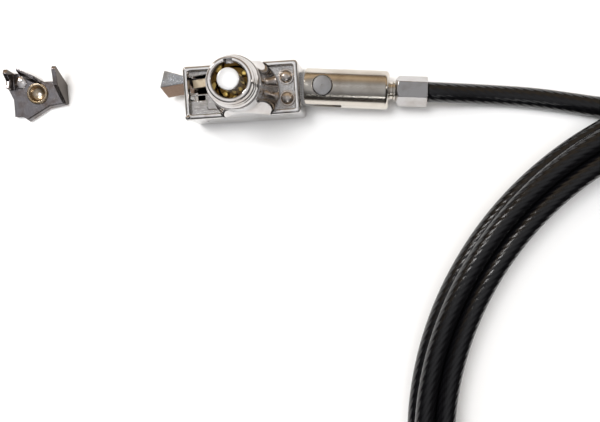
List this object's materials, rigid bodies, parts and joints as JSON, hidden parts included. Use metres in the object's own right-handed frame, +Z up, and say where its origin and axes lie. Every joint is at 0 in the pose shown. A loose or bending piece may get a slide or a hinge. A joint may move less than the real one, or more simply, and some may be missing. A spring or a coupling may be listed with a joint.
{
  "type": "laptop cable lock",
  "caption": "Laptop cable lock: cast body with tubular key barrel and swinging hook, clevis stem with swivel, crimped ferrule, coiled coated steel cable with an eye, and a loose slot bracket.",
  "frame": {"origin": "underside of the lock body, straight below the key barrel's axis", "axes": "+X along the lock body towards the cable, +Y to the back of the body, +Z up along the key barrel"},
  "size_m": [0.1604, 0.108, 0.021],
  "materials": {
    "cast": "bright nickel-chrome plate over a zinc casting, faint casting texture",
    "nickel": "bright nickel plate",
    "stem": "satin nickel, turned",
    "steel": "plain ground steel",
    "pin_steel": "dull turned pin",
    "post": "polished",
    "brass": "turned brass",
    "bar": "warm nickel, stamped",
    "tongue": "hardened steel, ground",
    "sheet": "folded sheet steel, nickel plated",
    "vinyl": "smoky clear vinyl over twisted steel strands",
    "strap": "woven hook-and-loop strap"
  },
  "bodies": {
    "cable": {"swivel_pin": "nickel", "ferrule": "nickel", "cable_lead": "vinyl", "cable_coil": "vinyl", "cable_tie": "strap", "cable_tail": "vinyl", "eye_sleeve": "nickel", "cable_eye": "vinyl"},
    "stem": {"stem_sleeve": "stem", "cross_pin": "pin_steel", "swivel_washer": "brass"},
    "lock_body": {"housing": "cast", "base_plate": "steel", "lug_plate": "steel", "rivet_front": "nickel", "rivet_back": "nickel", "barrel_sleeve": "cast", "cylinder_case": "cast", "pin_bushing": "brass", "hook_pivot": "steel", "hook_spring": "steel", "driver_pin_1": "steel", "driver_pin_2": "steel", "driver_pin_3": "steel", "driver_pin_4": "steel", "driver_pin_5": "steel", "driver_pin_6": "steel", "driver_pin_7": "steel", "pin_spring_1": "steel", "pin_spring_2": "steel", "pin_spring_3": "steel", "pin_spring_4": "steel", "pin_spring_5": "steel", "pin_spring_6": "steel", "pin_spring_7": "steel"},
    "plug": {"spindle": "post", "drive_cam": "steel", "cam_clip": "steel"},
    "hook": {"hook_bar": "bar", "tongue": "tongue"},
    "bracket": {"slot_bracket": "sheet"},
    "pin_1": {"key_pin_1": "brass"},
    "pin_2": {"key_pin_2": "brass"},
    "pin_3": {"key_pin_3": "brass"},
    "pin_4": {"key_pin_4": "brass"},
    "pin_5": {"key_pin_5": "brass"},
    "pin_6": {"key_pin_6": "brass"},
    "pin_7": {"key_pin_7": "brass"}
  },
  "joints": [
    {"name": "cable_swivel", "type": "hinge", "parent": "cable", "child": "stem", "pos_m": [0.0137, 0.00035, 0.004], "axis": [0.9945, -0.1045, 0], "continuous": true},
    {"name": "clevis_hinge", "type": "hinge", "parent": "stem", "child": "lock_body", "pos_m": [0.0137, 0.00035, 0.004], "axis": [0, 0, 1], "range_deg": [-21, 9]},
    {"name": "key_turn", "type": "hinge", "parent": "lock_body", "child": "plug", "pos_m": [0, 0, 0.014], "axis": [0, 0, 1], "range_deg": [0, 90]},
    {"name": "hook_swing", "type": "hinge", "parent": "lock_body", "child": "hook", "pos_m": [-0.0032, 0.0029, 0.0043], "axis": [0, 0, 1], "range_deg": [0, 10]},
    {"name": "pin_press_1", "type": "slide", "parent": "plug", "child": "pin_1", "axis": [0, 0, -1], "range_m": [0, 0.0008], "stiffness_N_per_m": 60},
    {"name": "pin_press_2", "type": "slide", "parent": "plug", "child": "pin_2", "axis": [0, 0, -1], "range_m": [0, 0.0006], "stiffness_N_per_m": 60},
    {"name": "pin_press_3", "type": "slide", "parent": "plug", "child": "pin_3", "axis": [0, 0, -1], "range_m": [0, 0.0007], "stiffness_N_per_m": 60},
    {"name": "pin_press_4", "type": "slide", "parent": "plug", "child": "pin_4", "axis": [0, 0, -1], "range_m": [0, 0.0005], "stiffness_N_per_m": 60},
    {"name": "pin_press_5", "type": "slide", "parent": "plug", "child": "pin_5", "axis": [0, 0, -1], "range_m": [0, 0.0008], "stiffness_N_per_m": 60},
    {"name": "pin_press_6", "type": "slide", "parent": "plug", "child": "pin_6", "axis": [0, 0, -1], "range_m": [0, 0.0006], "stiffness_N_per_m": 60},
    {"name": "pin_press_7", "type": "slide", "parent": "plug", "child": "pin_7", "axis": [0, 0, -1], "range_m": [0, 0.0007], "stiffness_N_per_m": 60},
    {"name": "bracket_slide", "type": "slide", "parent": "cable", "child": "bracket", "axis": [1, 0, 0], "range_m": [0, 0.018]}
  ],
  "couplings": [
    {"joint": "hook_swing", "follows": "key_turn", "ratio": 0.11111},
    {"joint": "pin_press_2", "follows": "pin_press_1", "ratio": 0.75},
    {"joint": "pin_press_3", "follows": "pin_press_1", "ratio": 0.875},
    {"joint": "pin_press_4", "follows": "pin_press_1", "ratio": 0.625},
    {"joint": "pin_press_5", "follows": "pin_press_1", "ratio": 1},
    {"joint": "pin_press_6", "follows": "pin_press_1", "ratio": 0.75},
    {"joint": "pin_press_7", "follows": "pin_press_1", "ratio": 0.875}
  ]
}
